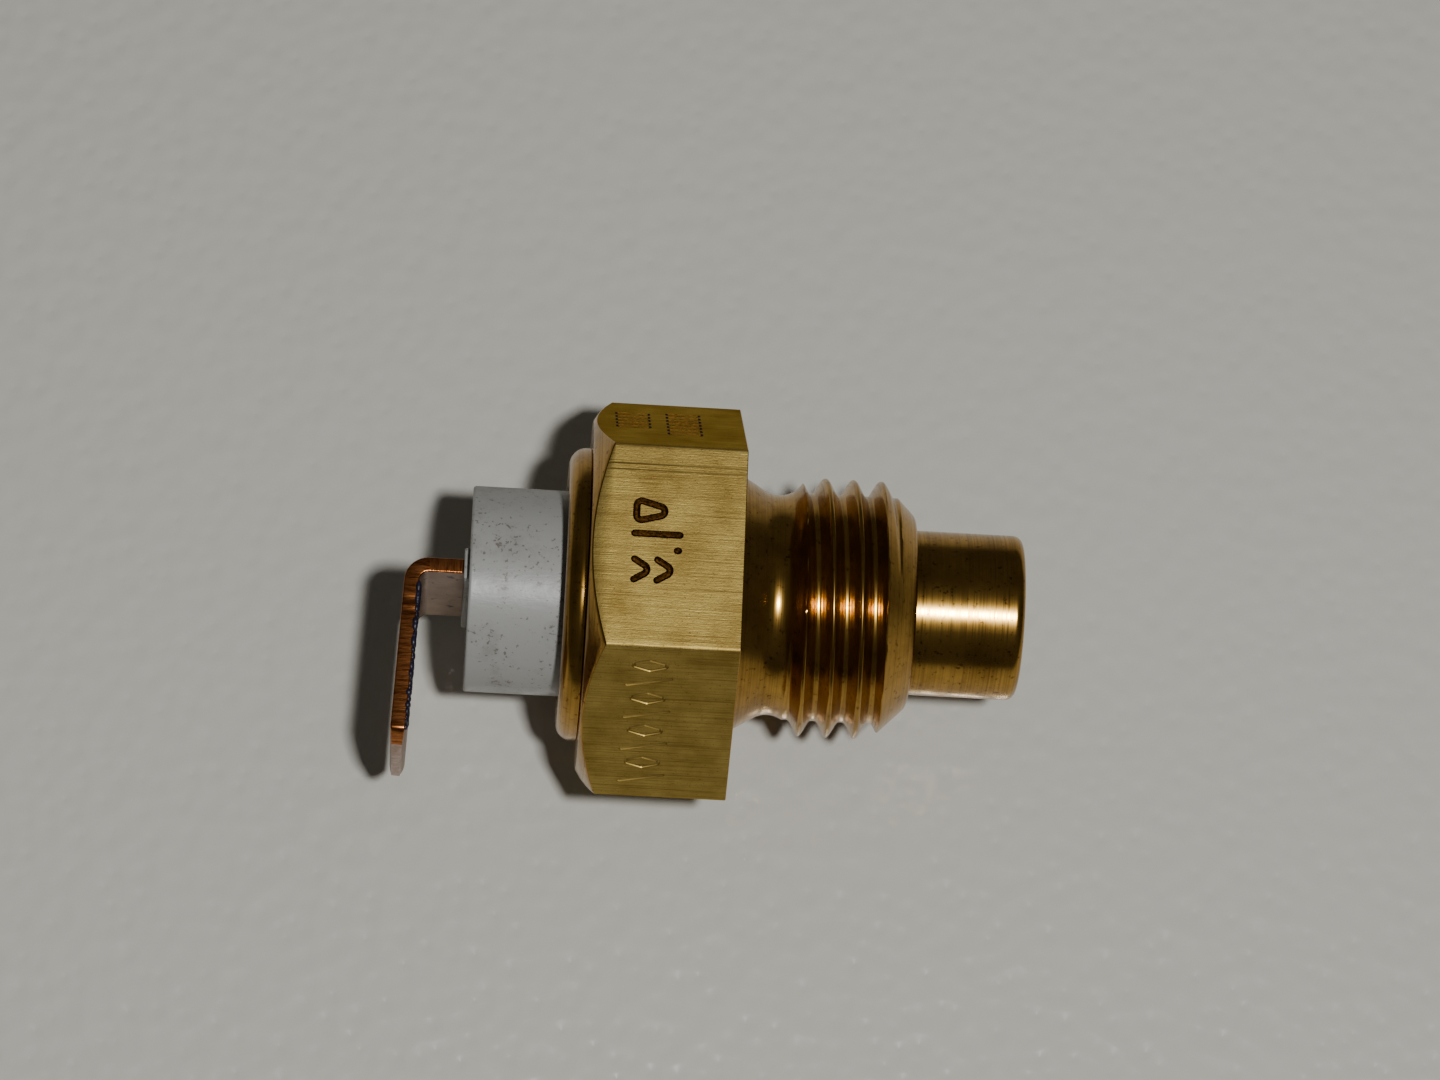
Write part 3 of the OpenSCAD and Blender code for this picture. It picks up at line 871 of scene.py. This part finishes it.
def pressed_marks(body, marks):
    """Plain dark marks with no lettering: a triangle, a bar, a dot and arrows on top, and boxes behind."""
    top = flat_frame(body, 90)
    rear = flat_frame(body, 30)
    bold = (marks.stroke, marks.stroke_depth)
    hatch = (marks.hatch, marks.hatch_depth)
    drawn = [(in_mm((-5.7, 1.25), (-3.5, 1.85), (-5.7, 2.45)), True, *bold, *top)]
    for corners in (
        in_mm((-5.75, 0.6), (-3.4, 0.6)),
        in_mm((-3.5, -0.25), (-3.45, -0.25)),
        in_mm((-5.7, -0.8), (-4.8, -1.35), (-5.7, -1.9)),
        in_mm((-4.5, -0.8), (-3.6, -1.35), (-4.5, -1.9)),
    ):
        drawn.append((corners, False, *bold, *top))
    for back_x, rows, start in ((-6.8, 5, -1.2), (-4.1, 7, -2.6)):
        front_x = back_x + 1.75
        for row in range(rows):
            low = start + 0.85 * row
            high = low + 0.5
            corners = in_mm((back_x, low), (front_x, low), (front_x, high), (back_x, high))
            drawn.append((corners, True, *hatch, *rear))
    return drawn


def scored_lines(body, marks):
    """Bright lines: two that a nick in the die scores along the top flat, and plain signs in front."""
    past = 0.3 * MM
    top = flat_frame(body, 90)
    front = flat_frame(body, 150)
    thin = (marks.thin, marks.thin_depth)
    drawn = []
    for across in (4.08 * MM, 4.41 * MM):
        corners = [(-body.hex_len - past, across), (past, across)]
        drawn.append((corners, False, marks.score, marks.score_depth, *top))
    diamond = in_mm((-5.75, 0), (-4.6, -0.38), (-3.45, 0), (-4.6, 0.38))
    slash = in_mm((-5.75, -0.28), (-3.45, 0.28))
    for place in range(8):
        shift = (4.1 - 1.17 * place) * MM
        closed = place % 2 == 0
        corners = [(x, y + shift) for x, y in (diamond if closed else slash)]
        drawn.append((corners, closed, *thin, *front))
    return drawn


class SENDER_OT_body(bpy.types.Operator):
    """Builds the brass body with its real helical thread, rolled rim and pressed marks"""

    bl_idname = "sender.body"
    bl_label = "Brass body"

    def execute(self, context):
        scene = context.scene
        made = body_skin(scene.sender_body).object("brass_body")
        carve(made, stamp_tool(scored_lines(scene.sender_body, scene.sender_marks), SCORED))
        carve(made, stamp_tool(pressed_marks(scene.sender_body, scene.sender_marks), PRESSED))
        colours = scene.sender_colours
        finishes = [make(colours) for make in (drawn_brass, turned_brass, pressed_brass, die_scored_brass)]
        dress(made, finishes, "sensor_body")
        return {"FINISHED"}


# Insulator


class SENDER_OT_insulator(bpy.types.Operator):
    """Builds the moulded insulator with the raised lip around the blade"""

    bl_idname = "sender.insulator"
    bl_label = "Insulator"

    def execute(self, context):
        scene = context.scene
        plastic = scene.sender_plastic
        blade = scene.sender_blade
        back_x = PLASTIC_BACK.x + plastic.lip_h
        front_x = PLASTIC_FRONT.x
        flange_r = PLASTIC_FRONT.y
        corner = 0.12 * MM
        made = turned(
            "insulator_moulding",
            [
                (back_x, 0, 0),
                (back_x, plastic.barrel_r, plastic.barrel_edge),
                (plastic.flange_x, plastic.barrel_r, corner),
                (plastic.flange_x, flange_r, corner),
                (plastic.flange_front_x, flange_r, corner),
                (plastic.flange_front_x, plastic.neck_r, corner),
                (plastic.neck_end_x, plastic.neck_r, corner),
                (plastic.neck_end_x, plastic.spigot_r, corner),
                (front_x, plastic.spigot_r, corner),
                (front_x, 0, 0),
            ],
            sides=160,
        )
        half_w = plastic.lip_w / 2
        half_len = plastic.lip_len / 2
        low = (PLASTIC_BACK.x, -half_w, -half_len)
        lip = block("lip", low, (back_x + 1 * MM, half_w, half_len), 0.1 * MM)
        carve(made, lip, "UNION")
        half_t = blade.thickness / 2 + plastic.gap
        past = 1 * MM
        for width, start, end in (
            (blade.width, PLASTIC_BACK.x - past, blade.root_x + plastic.gap),
            (blade.stem_w, PLASTIC_BACK.x - past, front_x + past),
        ):
            half = width / 2 + plastic.gap
            carve(made, block("slot", (start, -half_t, -half), (end, half_t, half)))
        dress(made, [moulded_nylon(scene.sender_colours)], "insulator")
        return {"FINISHED"}


# Blade terminal

# The third finish is the painted highlight on the blade's tip.
EDGE, FACE, TIP_HIGHLIGHT, DARK_LUMP = range(4)


def strip_section(half_t, half_w, corner):
    """Outline of the strip's section, and which stretches of it are sheared edge."""
    outline = rounded([
        (-half_t, -half_w, corner),
        (half_t, -half_w, corner),
        (half_t, half_w, corner),
        (-half_t, half_w, corner),
    ])
    flat = half_w - corner * 0.6
    finishes = []
    for i, (across, along) in enumerate(outline):
        after = outline[(i + 1) % len(outline)]
        on_edge = abs(along) > flat or abs(after[1]) > flat
        finishes.append(EDGE if on_edge and not abs(along - after[1]) > half_w else FACE)
    return outline, finishes


def bell(value, middle, width):
    """A smooth bump of height 1 around a middle."""
    return math.exp(-((value - middle) / width) ** 2)


def tip_half_width(blade, from_tip):
    """Half the tab's width near its tip, with the corner cut starting in a small curve."""
    softness = 0.25
    into_cut = (blade.tip_cut_len - from_tip) / blade.tip_cut_len
    return blade.width / 2 - blade.tip_cut_w * soft_step(into_cut, softness)


def blade_stations(blade):
    """Stations along the strip as (place, direction, thickness, width, whether the painted tip highlight
    covers it).
    """
    half_t = blade.thickness / 2
    bend_x = blade.back_x + blade.bend_r
    middle_r = blade.bend_r - half_t
    seat_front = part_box("spring_seat")[1].x
    spigot_end = PLASTIC_FRONT.x
    stations = []

    def straight(start, end, width, steps=1):
        for k in range(steps + 1):
            x = start + (end - start) * k / steps
            stations.append((Vector((x, 0, 0)), Vector((-1, 0, 0)), blade.thickness, width, False))

    straight(seat_front, spigot_end, blade.stem_end_w)
    straight(spigot_end, blade.root_x, blade.stem_w)
    straight(blade.root_x, bend_x, blade.width, 24)
    turn_end = math.pi - blade.lean
    for k in range(1, 17):
        turn = math.pi / 2 + (turn_end - math.pi / 2) * k / 16
        place = Vector((bend_x + middle_r * math.cos(turn), -middle_r + middle_r * math.sin(turn), 0))
        direction = Vector((-math.sin(turn), math.cos(turn), 0))
        stations.append((place, direction, blade.thickness, blade.width, False))
    start, direction = stations[-1][:2]
    leg = (-BLADE_BACK.y - middle_r) / math.cos(blade.lean) - 0.001 * MM
    near_tip = blade.tip_cut_len * 1.6
    along = [leg * k / 60 for k in range(1, 61) if leg * k / 60 < leg - near_tip]
    along += [leg - near_tip * (1 - k / 26) for k in range(27)]
    for s in along:
        from_tip = leg - s
        thin = max(0, 1 - from_tip / blade.tip_len)
        thickness = blade.thickness - (blade.thickness - blade.tip_t) * thin
        dent = blade.dent * (bell(s, 1.1 * MM, 0.15 * MM) + bell(s, 1.7 * MM, 0.14 * MM))
        width = 2 * (tip_half_width(blade, from_tip) - dent)
        stations.append((start + direction * s, direction, thickness, width, from_tip < blade.tip_highlight_reach))
    return stations


def blade_skin(blade):
    """The strip as one skin, with sheared edges, tinned faces and a rounded tip under a painted highlight."""
    skin = Skin([])
    stations = blade_stations(blade)
    end_place, end_direction, end_t, end_w, _ = stations[-1]
    for inset in (0.3, 0.7):
        shrink = blade.edge * inset
        stations.append((end_place, end_direction, end_t - 2 * shrink, end_w - 2 * shrink, True))
    # The last flag of a station gives it the painted tip highlight in place of the strip's own finishes.
    for place, direction, thickness, width, tinned in stations:
        normal = Vector((direction.y, -direction.x, 0))
        outline, finishes = strip_section(thickness / 2, width / 2, blade.edge)
        ring = [skin.mesh.verts.new(place + normal * u + Vector((0, 0, v))) for u, v in outline]
        if skin.ring is None:
            skin.mesh.faces.new(ring)
        skin.join(ring, [TIP_HIGHLIGHT] * len(ring) if tinned else finishes)
    skin.mesh.faces.new(skin.ring).material_index = TIP_HIGHLIGHT
    return skin


def grow_dark_lumps(made, blade):
    """Adds the small dark blue-black lumps on the leg's inner face, along its upper edge."""
    leg = [station for station in blade_stations(blade) if station[1].y < -0.99]
    start, direction = leg[0][:2]
    end = leg[-1][0]
    inward = Vector((-direction.y, direction.x, 0))
    draw = random.Random(blade.dark_lump_seed)
    mesh = bmesh.new()
    mesh.from_mesh(made.data)
    first, last = 0.03, 0.88
    for _ in range(blade.dark_lump_count):
        from_edge = Vector((0, 0, blade.width / 2 - draw.uniform(0.1, 1) * blade.dark_lump_reach))
        spot = start.lerp(end, draw.uniform(first, last)) + inward * blade.thickness / 2 + from_edge
        shape = Matrix.Translation(spot) @ Matrix.Diagonal((0.7, draw.uniform(0.8, 1.6), 1, 1))
        radius = blade.dark_lump_r * draw.uniform(0.4, 1)
        lump = bmesh.ops.create_icosphere(mesh, subdivisions=2, radius=radius, matrix=shape)
        for face in {face for vert in lump["verts"] for face in vert.link_faces}:
            face.material_index = DARK_LUMP
    mesh.to_mesh(made.data)
    mesh.free()


class SENDER_OT_blade(bpy.types.Operator):
    """Builds the bent blade terminal with its stem and riveted head"""

    bl_idname = "sender.blade"
    bl_label = "Blade terminal"

    def execute(self, context):
        scene = context.scene
        blade = scene.sender_blade
        made = blade_skin(blade).object("blade_strip")
        seat_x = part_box("spring_seat")[1].x
        head = turned(
            "head",
            [
                (seat_x, 0, 0),
                (seat_x, blade.head_r, 0.08 * MM),
                (seat_x + blade.head_t, blade.head_r, 0.3 * MM),
                (seat_x + blade.head_t, 0, 0),
            ],
            sides=48,
        )
        carve(made, head, "UNION")
        grow_dark_lumps(made, blade)
        colours = scene.sender_colours
        bend_x = blade.back_x + blade.bend_r
        # Dark blue-black lumps: half glossy, with a grainy skin
        dark_lump_finish = two_tone("Dark lump finish", "#14131F", "#26233A", 6, 0.02 * MM, Roughness=0.4, IOR=1.5)
        finishes = [sheared_copper(colours, bend_x), tinned_strip(colours), tip_painted_highlight(colours), dark_lump_finish]
        dress(made, finishes, "blade_terminal", sharp=50)
        return {"FINISHED"}


# Contact stack


def coil_place(stack, turns):
    """Place along the axis of the spring's wire after so many turns."""
    start = COIL_BACK.x + stack.wire_r
    end = COIL_FRONT.x - stack.wire_r
    pitch = (end - start - 2 * stack.closed_pitch) / (stack.turns - 2)
    if turns < 1:
        return start + stack.closed_pitch * turns
    if turns > stack.turns - 1:
        return end - stack.closed_pitch * (stack.turns - turns)
    return start + stack.closed_pitch + pitch * (turns - 1)


class SENDER_OT_spring(bpy.types.Operator):
    """Builds the contact spring at its resting length"""

    bl_idname = "sender.spring"
    bl_label = "Contact spring"

    def execute(self, context):
        stack = context.scene.sender_stack
        sides = 14
        per_turn = 36
        coil_r = COIL_FRONT.y - stack.wire_r
        total = stack.turns * per_turn
        skin = Skin([])
        for i in range(total + 1):
            turn = FULL_TURN * i / per_turn
            middle = coil_place(stack, i / per_turn)
            round_end = 0.8 if i in (0, total) else 1
            ring = []
            for side in even_angles(sides):
                radius = coil_r + stack.wire_r * round_end * math.cos(side)
                ring.append(skin.point(middle + stack.wire_r * round_end * math.sin(side), radius, turn))
            if skin.ring is None:
                skin.mesh.faces.new(ring)
            skin.join(ring)
        skin.mesh.faces.new(skin.ring)
        made = skin.object("spring_coil")
        # Phosphor bronze wire, drawn: warm and glossy, with marks along the wire
        wire = two_tone(
            "Phosphor bronze wire", "#C08A54", "#8E5F36", 3, 0.004 * MM, Metallic=1.0, Roughness=0.28
        )
        dress(made, [wire], "contact_spring", sharp=60)
        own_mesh(made)
        return {"FINISHED"}


class SENDER_OT_seals(bpy.types.Operator):
    """Builds the crimp washer and the seal ring under the rolled rim"""

    bl_idname = "sender.seals"
    bl_label = "Washer and seal"

    def execute(self, context):
        scene = context.scene
        low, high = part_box("crimp_washer")
        inner = scene.sender_body.lip_r
        burr = 0.04 * MM
        washer = turned(
            "washer_ring",
            [(low.x, inner, burr), (high.x, inner, burr), (high.x, high.y, burr), (low.x, high.y, 2 * burr)],
            closed=True,
        )
        # Stamped steel: a grey sheet with a fine rolled grain
        steel = two_tone(
            "Stamped steel", "#A9A9A7", "#7C7B79", 4, 0.003 * MM, (1, 0.1, 1), Metallic=1.0, Roughness=0.38
        )
        dress(washer, [steel], "crimp_washer")

        low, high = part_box("seal_ring")
        inner = scene.sender_plastic.neck_r + scene.sender_plastic.gap
        soft = 0.42 * MM
        ring = turned(
            "seal_squeezed",
            tube_section(low.x, high.x, inner, high.y, soft),
            closed=True,
        )
        # Nitrile rubber, moulded: matt black with a dusty bloom
        rubber = two_tone("Nitrile rubber", "#1B1B1B", "#2E2D2B", 2, 0.01 * MM, Roughness=0.72, IOR=1.52)
        dress(ring, [rubber], "seal_ring")
        return {"FINISHED"}


class SENDER_OT_contacts(bpy.types.Operator):
    """Builds the spring seat and the sliding contact cap"""

    bl_idname = "sender.contacts"
    bl_label = "Seat and cap"

    def execute(self, context):
        scene = context.scene
        blade = scene.sender_blade
        stack = scene.sender_stack
        # Tin-plated brass, turned: pale straw with close rings
        plated = two_tone(
            "Tin-plated brass", "#D8C8A4", "#B7A37C", 5, 0.004 * MM, (1, 0.2, 0.2), Metallic=1.0, Roughness=0.3
        )
        low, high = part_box("spring_seat")
        corner = 0.1 * MM
        seat = turned(
            "seat_disc",
            [(low.x, 0, 0), (low.x, high.y, corner), (high.x, high.y, corner), (high.x, 0, 0)],
        )
        gap = scene.sender_plastic.gap
        half_t = blade.thickness / 2 + gap
        half_w = blade.stem_end_w / 2 + gap
        slot_low = (low.x - 1 * MM, -half_t, -half_w)
        carve(seat, block("slot", slot_low, (high.x + 1 * MM, half_t, half_w)))
        dress(seat, [plated], "spring_seat")

        low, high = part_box("contact_cap")
        flange_x = high.x - stack.cap_flange_t
        dimple_r = 0.5 * MM
        cap = turned(
            "cap_slider",
            [
                (low.x + dimple_r / 2, 0, 0),
                (low.x, dimple_r, 0),
                (low.x, stack.hub_r, 2 * corner),
                (flange_x, stack.hub_r, corner),
                (flange_x, high.y, corner),
                (high.x, high.y, corner),
                (high.x, 0, 0),
            ],
        )
        dress(cap, [plated], "contact_cap", "contact")
        return {"FINISHED"}


class SENDER_OT_sensing(bpy.types.Operator):
    """Builds the sleeve, the sensing pill, the contact disc and the paste around them"""

    bl_idname = "sender.sensing"
    bl_label = "Sensing stack"

    def execute(self, context):
        stack = context.scene.sender_stack
        body = context.scene.sender_body
        low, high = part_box("insulating_sleeve")
        corner = 0.05 * MM
        inner = high.y - stack.sleeve_wall
        sleeve = turned(
            "sleeve_tube",
            tube_section(low.x, high.x, inner, high.y, corner),
            closed=True,
        )
        # Polyester tube, extruded: glossy amber film with faint draw lines
        film = two_tone(
            "Polyester film", "#DDCFA6", "#CDBB8C", 3, 0.003 * MM, (0.05, 1, 1), Roughness=0.22, IOR=1.6
        )
        dress(sleeve, [film], "insulating_sleeve")

        low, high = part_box("thermistor_pill")
        pill_corner = 0.15 * MM
        pill = turned(
            "pill_sintered",
            [(low.x, 0, 0), (low.x, high.y, pill_corner), (high.x, high.y, pill_corner), (high.x, 0, 0)],
        )
        for face in pill.data.polygons:
            face.material_index = 1 if abs(face.normal.x) > 0.98 else 0
        # Sintered oxide ceramic: dark grey and dull, with a granular break; its faces carry fired silver
        ceramic = two_tone("Thermistor ceramic", "#4A4A4F", "#37373B", 6, 0.006 * MM, Roughness=0.6, IOR=1.8)
        silver = two_tone("Fired silver", "#D6D4CC", "#B9B6AC", 4, 0.006 * MM, Metallic=1.0, Roughness=0.42)
        dress(pill, [ceramic, silver], "thermistor_pill")

        low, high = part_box("contact_disc")
        disc = turned(
            "disc_soft",
            [(low.x, 0, 0), (low.x, high.y, corner), (high.x, high.y, corner), (high.x, 0, 0)],
        )
        # Annealed copper: soft salmon with a dull bloom
        copper = two_tone(
            "Annealed copper", "#CB8560", "#A8623F", 2.5, 0.004 * MM, Metallic=1.0, Roughness=0.4
        )
        dress(disc, [copper], "contact_disc")

        low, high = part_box("thermal_paste")
        pill_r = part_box("thermistor_pill")[1].y
        disc_low, disc_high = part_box("contact_disc")
        paste = turned(
            "paste_fill",
            [
                (low.x, pill_r, 0),
                (disc_low.x, pill_r, corner),
                (disc_low.x, disc_high.y, corner),
                (high.x, disc_high.y, 0),
                (high.x, body.bore_r, corner),
                (low.x, body.bore_r, 0),
                (low.x + 0.14 * MM, (pill_r + body.bore_r) / 2, 0.2 * MM),
            ],
            closed=True,
        )
        # Silicone paste: opaque white, soft and slightly greasy
        white = two_tone("Silicone paste", "#ECECE6", "#DADAD2", 1.5, 0.03 * MM, Roughness=0.45, IOR=1.41)
        dress(paste, [white], "thermal_paste")
        return {"FINISHED"}


# Stage


class SENDER_OT_stage(bpy.types.Operator):
    """Sets the pale table top, the soft light and the camera"""

    bl_idname = "sender.stage"
    bl_label = "Stage"

    def execute(self, context):
        scene = context.scene
        stage = scene.sender_stage
        half = stage.floor_size / 2
        floor_z = cad_box[0].z
        mesh = bpy.data.meshes.new("table_top")
        corners = [(x * half, y * half, floor_z) for x, y in ((-1, -1), (1, -1), (1, 1), (-1, 1))]
        mesh.from_pydata(corners, [], [(0, 1, 2, 3)])
        floor = bpy.data.objects.new("table_top", mesh)
        floor.data.materials.append(table_top(scene.sender_colours))
        scene.collection.objects.link(floor)

        away = Vector((
            math.sin(stage.azimuth) * math.cos(stage.elevation),
            -math.cos(stage.azimuth) * math.cos(stage.elevation),
            math.sin(stage.elevation),
        ))
        target = Vector(stage.target)
        turned_view = away.to_track_quat("Z", "Y").to_matrix() @ Matrix.Rotation(stage.roll, 3, "Z")
        camera_data = bpy.data.cameras.new("camera")
        camera_data.lens = stage.lens
        camera_data.clip_start = 10 * MM
        camera = bpy.data.objects.new("camera", camera_data)
        camera.matrix_world = Matrix.Translation(target + away * stage.distance) @ turned_view.to_4x4()
        scene.collection.objects.link(camera)
        scene.camera = camera

        light_data = bpy.data.lights.new("main light", "AREA")
        light_data.size = stage.light_size
        light_data.energy = stage.light_power
        light = bpy.data.objects.new("main light", light_data)
        offset = turned_view @ Vector((stage.light_side, stage.light_up, 0))
        place = target + away * stage.distance + offset
        facing = (place - target).to_track_quat("Z", "Y").to_matrix().to_4x4()
        light.matrix_world = Matrix.Translation(place) @ facing
        scene.collection.objects.link(light)

        scene.world = bpy.data.worlds.new("room")
        scene.world.use_nodes = True
        room = scene.world.node_tree.nodes["Background"].inputs
        room["Color"].default_value = (1, 0.97, 0.92, 1)
        room["Strength"].default_value = stage.room
        return {"FINISHED"}


class SENDER_PT_panel(bpy.types.Panel):
    """Lists the operators in the order in which main() runs them."""

    bl_label = "Temperature sender"
    bl_idname = "SENDER_PT_panel"
    bl_space_type = "VIEW_3D"
    bl_region_type = "UI"
    bl_category = "Sender"

    def draw(self, context):
        for operator in OPERATORS:
            self.layout.operator(operator.bl_idname)


SETTINGS = {
    "sender_body": SenderBodySizes,
    "sender_marks": SenderMarkSizes,
    "sender_plastic": SenderPlasticSizes,
    "sender_blade": SenderBladeSizes,
    "sender_stack": SenderStackSizes,
    "sender_colours": SenderColours,
    "sender_stage": SenderStage,
}
OPERATORS = (
    SENDER_OT_body,
    SENDER_OT_insulator,
    SENDER_OT_blade,
    SENDER_OT_spring,
    SENDER_OT_seals,
    SENDER_OT_contacts,
    SENDER_OT_sensing,
    SENDER_OT_stage,
)


def register():
    for name, group in SETTINGS.items():
        bpy.utils.register_class(group)
        setattr(bpy.types.Scene, name, bpy.props.PointerProperty(type=group))
    for operator in OPERATORS:
        bpy.utils.register_class(operator)
    bpy.utils.register_class(SENDER_PT_panel)


def unregister():
    bpy.utils.unregister_class(SENDER_PT_panel)
    for operator in reversed(OPERATORS):
        bpy.utils.unregister_class(operator)
    for name, group in reversed(SETTINGS.items()):
        delattr(bpy.types.Scene, name)
        bpy.utils.unregister_class(group)


def main():
    register()
    bpy.ops.sender.body()
    bpy.ops.sender.insulator()
    bpy.ops.sender.blade()
    bpy.ops.sender.spring()
    bpy.ops.sender.seals()
    bpy.ops.sender.contacts()
    bpy.ops.sender.sensing()
    bpy.ops.sender.stage()


if __name__ == "__main__":
    main()
